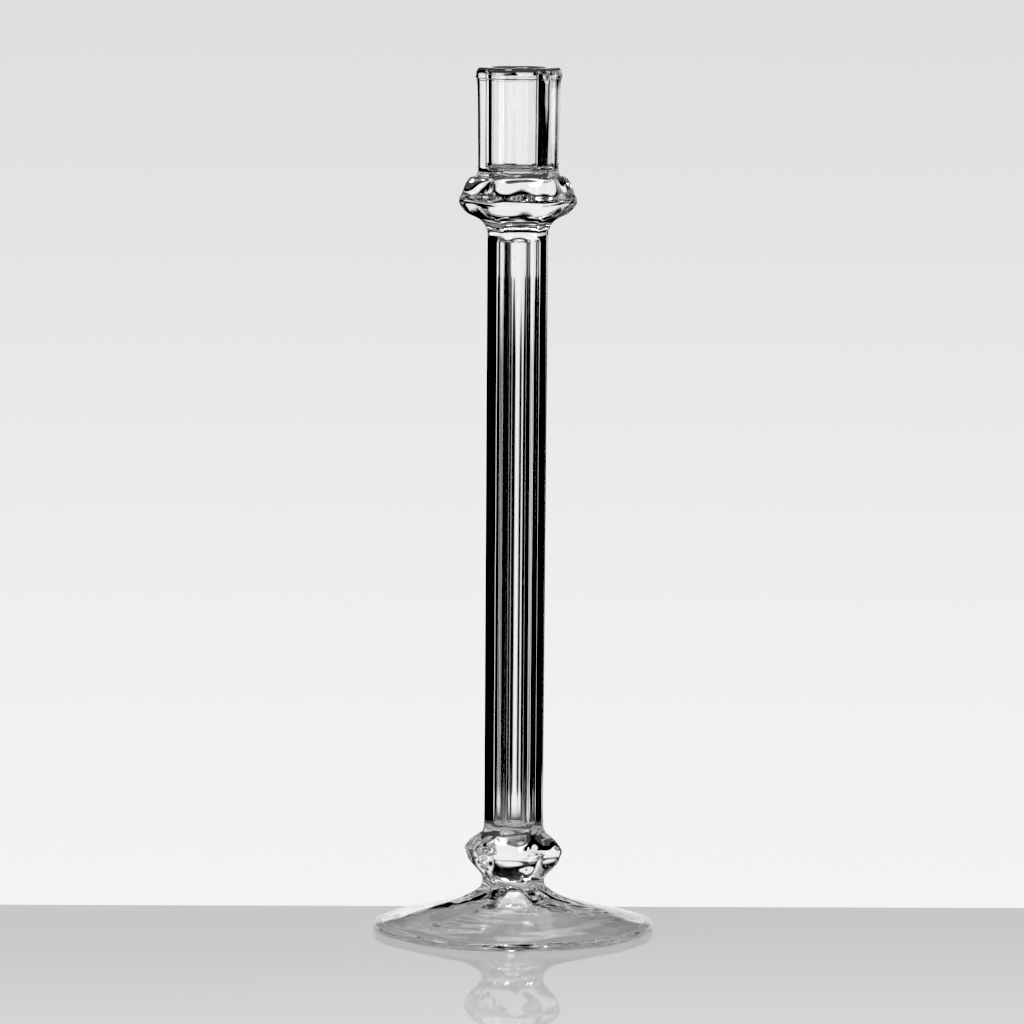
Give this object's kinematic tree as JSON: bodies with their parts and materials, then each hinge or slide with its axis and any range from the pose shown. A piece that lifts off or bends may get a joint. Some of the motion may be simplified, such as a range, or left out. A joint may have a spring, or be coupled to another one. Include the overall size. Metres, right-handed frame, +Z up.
{
  "type": "glass candlestick",
  "caption": "Tall clear glass candlestick with a hexagonal stem, soft knops, a flared candle socket with a round bore and a wide trumpet foot.",
  "frame": {"origin": "centre of the foot's resting face, on the table", "axes": "+Z up along the stem towards the candle; a flat of the hexagon faces -Y; a corner of the hexagon points along +X"},
  "size_m": [0.126, 0.126, 0.3865],
  "materials": {
    "clear_glass": "clear, fire polished"
  },
  "bodies": {
    "root": {"foot": "clear_glass", "foot_merese": "clear_glass", "lower_knop": "clear_glass", "stem": "clear_glass", "stem_head": "clear_glass", "drip_collar": "clear_glass", "candle_socket": "clear_glass"}
  },
  "joints": []
}
